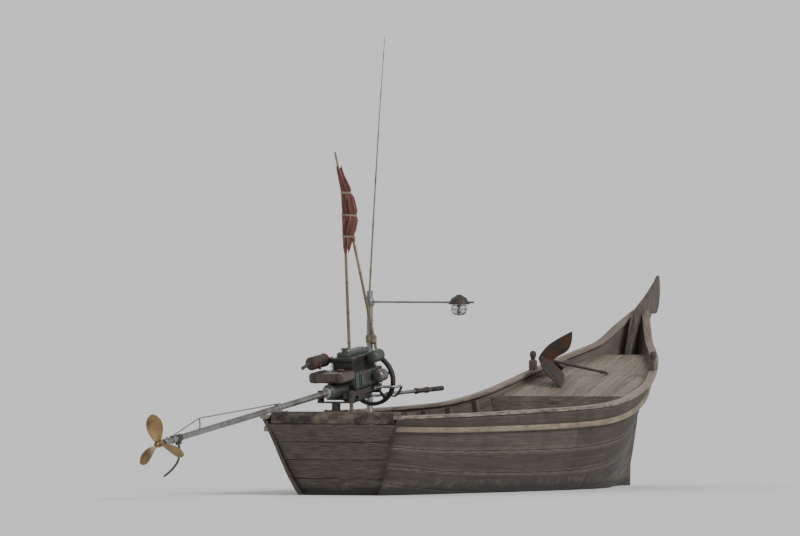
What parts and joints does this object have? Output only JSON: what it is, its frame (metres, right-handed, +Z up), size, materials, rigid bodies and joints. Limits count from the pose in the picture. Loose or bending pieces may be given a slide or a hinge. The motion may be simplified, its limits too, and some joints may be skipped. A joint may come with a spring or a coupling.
{
  "type": "longtail boat",
  "caption": "Small open plank-built wooden boat with a raised bow, and an engine on a stern swivel that drives a propeller on a long tail shaft; poles and a lamp boom stand aft.",
  "frame": {"origin": "on the waterline, on the centreline, under the middle of the planked hull", "axes": "+X towards the bow, +Y to port, +Z up"},
  "size_m": [8.8657, 1.5546, 3.9706],
  "materials": {
    "hull_wood": "dark oiled and tarred hardwood planks, weathered and worn at the edges",
    "deck_wood": "bare weathered hardwood, grey brown",
    "pale_wood": "pale worn paint on wood",
    "iron": "greasy cast and welded iron with old dark paint and rust",
    "engine_castings": "castings under oily dark grey-green paint",
    "steel": "worn galvanised steel",
    "bronze": "dull bronze, darkened",
    "bamboo": "weathered bamboo",
    "cloth": "faded dark cloth",
    "rope": "dirty laid rope",
    "rubber": "black ribbed rubber",
    "lamp_glass": "salt-hazed glass",
    "tank_shell": "chipped dark paint on a thin tank shell, oily round the cap"
  },
  "bodies": {
    "hull": {"port_planking_aft": "hull_wood", "port_planking_middle": "hull_wood", "port_planking_fore": "hull_wood", "starboard_planking_aft": "hull_wood", "starboard_planking_middle": "hull_wood", "starboard_planking_fore": "hull_wood", "port_top_strake": "hull_wood", "starboard_top_strake": "hull_wood", "keel": "hull_wood", "stem_post": "hull_wood", "transom": "hull_wood", "floor_timbers": "hull_wood", "port_ribs_aft": "hull_wood", "port_ribs_fore": "hull_wood", "starboard_ribs_aft": "hull_wood", "starboard_ribs_fore": "hull_wood", "engine_beam": "hull_wood", "port_bow_post": "hull_wood", "starboard_bow_post": "hull_wood", "port_gunwale": "deck_wood", "starboard_gunwale": "deck_wood", "foredeck": "deck_wood", "thwart_aft": "deck_wood", "thwart_mid": "deck_wood", "thwart_forward": "deck_wood", "floorboards": "deck_wood", "stern_deck": "deck_wood", "port_rub_rail": "pale_wood", "starboard_rub_rail": "pale_wood", "pivot_socket": "iron", "anchor": "iron", "lamp_stanchion": "steel", "boom_stop_ring": "steel", "flag_pole_upright": "bamboo", "flag_pole_leaning": "bamboo", "whip": "bamboo", "flag_bundle": "cloth", "pole_lashing": "rope"},
    "swivel": {"swivel_yoke": "iron"},
    "engine": {"engine_cradle": "iron", "crankcase": "engine_castings", "cylinder_block": "engine_castings", "cylinder_head": "engine_castings", "air_cleaner": "engine_castings", "muffler": "iron", "alternator": "steel", "fuel_tank": "tank_shell", "coupling_housing": "iron", "tail_tube": "steel", "tail_stay": "steel", "skeg": "iron", "tiller": "steel", "throttle": "iron", "tiller_grip": "rubber"},
    "drive": {"drive_shaft": "steel", "flywheel": "iron", "propeller": "bronze"},
    "boom": {"lamp_boom": "steel", "lamp_cap": "iron", "lamp_glass": "lamp_glass"}
  },
  "joints": [
    {"name": "steer", "type": "hinge", "parent": "hull", "child": "swivel", "pos_m": [-2.9, 0, 0.7], "axis": [0, 0, 1], "range_deg": [-35, 45]},
    {"name": "tilt", "type": "hinge", "parent": "swivel", "child": "engine", "pos_m": [-2.9, 0, 0.79], "axis": [0.0872, 0.9962, 0], "range_deg": [-16, 4]},
    {"name": "drive_spin", "type": "hinge", "parent": "engine", "child": "drive", "pos_m": [-2.90554, 0.00048, 0.8286], "axis": [0.986, -0.0863, 0.1426], "continuous": true},
    {"name": "boom_swing", "type": "hinge", "parent": "hull", "child": "boom", "pos_m": [-1.1, 0.56, 1.51], "axis": [0, 0, 1], "range_deg": [-45, 110]}
  ]
}
